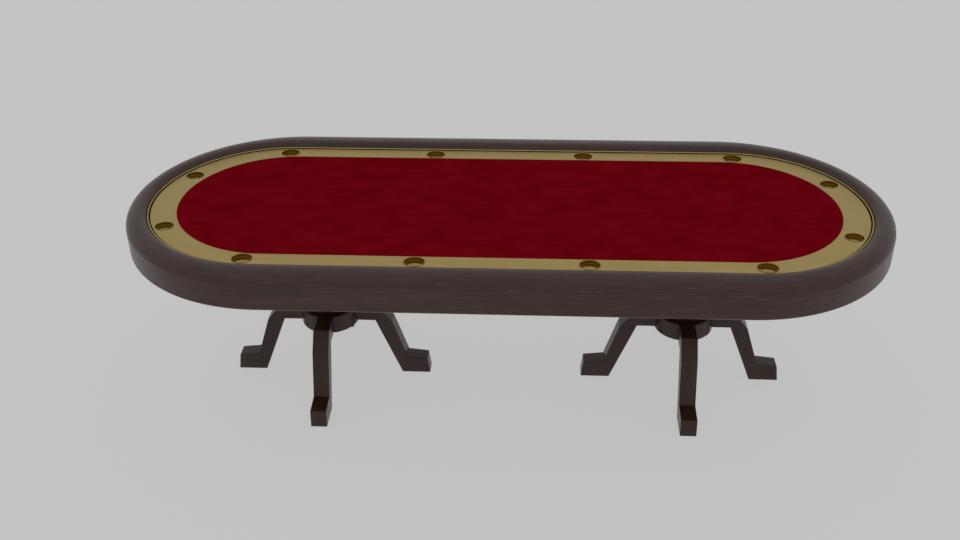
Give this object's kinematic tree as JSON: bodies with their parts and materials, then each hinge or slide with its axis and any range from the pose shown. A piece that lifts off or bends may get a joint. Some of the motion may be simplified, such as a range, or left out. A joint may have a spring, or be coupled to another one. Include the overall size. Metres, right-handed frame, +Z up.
{
  "type": "poker table",
  "caption": "Long oval poker table with a dark wood armrest, gold racetrack with lift-out cup holders, red felt field and two four-legged pedestals.",
  "frame": {"origin": "on the floor, under the middle of the table", "axes": "+X along the length of the table, +Y from the front side to the back side, +Z up"},
  "size_m": [2.7436, 1.136, 0.763],
  "materials": {
    "espresso_wood": "espresso stain under satin lacquer",
    "gold_racetrack": "gold metallic lacquer on a board core",
    "gold_bead": "satin",
    "cup_brass": "spun and polished",
    "red_felt": "napped wool cloth",
    "foam": "closed-cell foam",
    "plywood": "sanded birch plywood",
    "pine": "planed",
    "zinc_steel": "zinc plated",
    "rubber": "matte"
  },
  "bodies": {
    "table": {"armrest_back": "espresso_wood", "armrest_front": "espresso_wood", "armrest_left_end": "espresso_wood", "armrest_right_end": "espresso_wood", "batten_left": "pine", "batten_middle": "pine", "batten_right": "pine", "bead_back": "gold_bead", "bead_front": "gold_bead", "beam_back": "pine", "beam_front": "pine", "deck_left": "plywood", "deck_right": "plywood", "felt_cloth": "red_felt", "foam_pad": "foam", "left_column": "espresso_wood", "left_glide_back": "rubber", "left_glide_front": "rubber", "left_glide_left": "rubber", "left_glide_right": "rubber", "left_hub": "espresso_wood", "left_hub_cap": "espresso_wood", "left_leg_back": "espresso_wood", "left_leg_front": "espresso_wood", "left_leg_left": "espresso_wood", "left_leg_right": "espresso_wood", "left_rod_nut": "zinc_steel", "left_tie_rod": "zinc_steel", "left_top_plate": "plywood", "playing_board": "plywood", "racetrack_back": "gold_racetrack", "racetrack_front": "gold_racetrack", "racetrack_left_end": "gold_racetrack", "racetrack_right_end": "gold_racetrack", "right_column": "espresso_wood", "right_glide_back": "rubber", "right_glide_front": "rubber", "right_glide_left": "rubber", "right_glide_right": "rubber", "right_hub": "espresso_wood", "right_hub_cap": "espresso_wood", "right_leg_back": "espresso_wood", "right_leg_front": "espresso_wood", "right_leg_left": "espresso_wood", "right_leg_right": "espresso_wood", "right_rod_nut": "zinc_steel", "right_tie_rod": "zinc_steel", "right_top_plate": "plywood"},
    "cup_back_1": {"cup_back_1": "cup_brass"},
    "cup_back_2": {"cup_back_2": "cup_brass"},
    "cup_back_3": {"cup_back_3": "cup_brass"},
    "cup_back_4": {"cup_back_4": "cup_brass"},
    "cup_front_1": {"cup_front_1": "cup_brass"},
    "cup_front_2": {"cup_front_2": "cup_brass"},
    "cup_front_3": {"cup_front_3": "cup_brass"},
    "cup_front_4": {"cup_front_4": "cup_brass"},
    "cup_left_back": {"cup_left_back": "cup_brass"},
    "cup_left_front": {"cup_left_front": "cup_brass"},
    "cup_right_back": {"cup_right_back": "cup_brass"},
    "cup_right_front": {"cup_right_front": "cup_brass"}
  },
  "joints": [
    {"name": "cup_back_1_lift", "type": "slide", "parent": "table", "child": "cup_back_1", "axis": [0, 0, 1], "range_m": [0, 0.06]},
    {"name": "cup_back_2_lift", "type": "slide", "parent": "table", "child": "cup_back_2", "axis": [0, 0, 1], "range_m": [0, 0.06]},
    {"name": "cup_back_3_lift", "type": "slide", "parent": "table", "child": "cup_back_3", "axis": [0, 0, 1], "range_m": [0, 0.06]},
    {"name": "cup_back_4_lift", "type": "slide", "parent": "table", "child": "cup_back_4", "axis": [0, 0, 1], "range_m": [0, 0.06]},
    {"name": "cup_front_1_lift", "type": "slide", "parent": "table", "child": "cup_front_1", "axis": [0, 0, 1], "range_m": [0, 0.06]},
    {"name": "cup_front_2_lift", "type": "slide", "parent": "table", "child": "cup_front_2", "axis": [0, 0, 1], "range_m": [0, 0.06]},
    {"name": "cup_front_3_lift", "type": "slide", "parent": "table", "child": "cup_front_3", "axis": [0, 0, 1], "range_m": [0, 0.06]},
    {"name": "cup_front_4_lift", "type": "slide", "parent": "table", "child": "cup_front_4", "axis": [0, 0, 1], "range_m": [0, 0.06]},
    {"name": "cup_left_back_lift", "type": "slide", "parent": "table", "child": "cup_left_back", "axis": [0, 0, 1], "range_m": [0, 0.06]},
    {"name": "cup_left_front_lift", "type": "slide", "parent": "table", "child": "cup_left_front", "axis": [0, 0, 1], "range_m": [0, 0.06]},
    {"name": "cup_right_back_lift", "type": "slide", "parent": "table", "child": "cup_right_back", "axis": [0, 0, 1], "range_m": [0, 0.06]},
    {"name": "cup_right_front_lift", "type": "slide", "parent": "table", "child": "cup_right_front", "axis": [0, 0, 1], "range_m": [0, 0.06]}
  ]
}
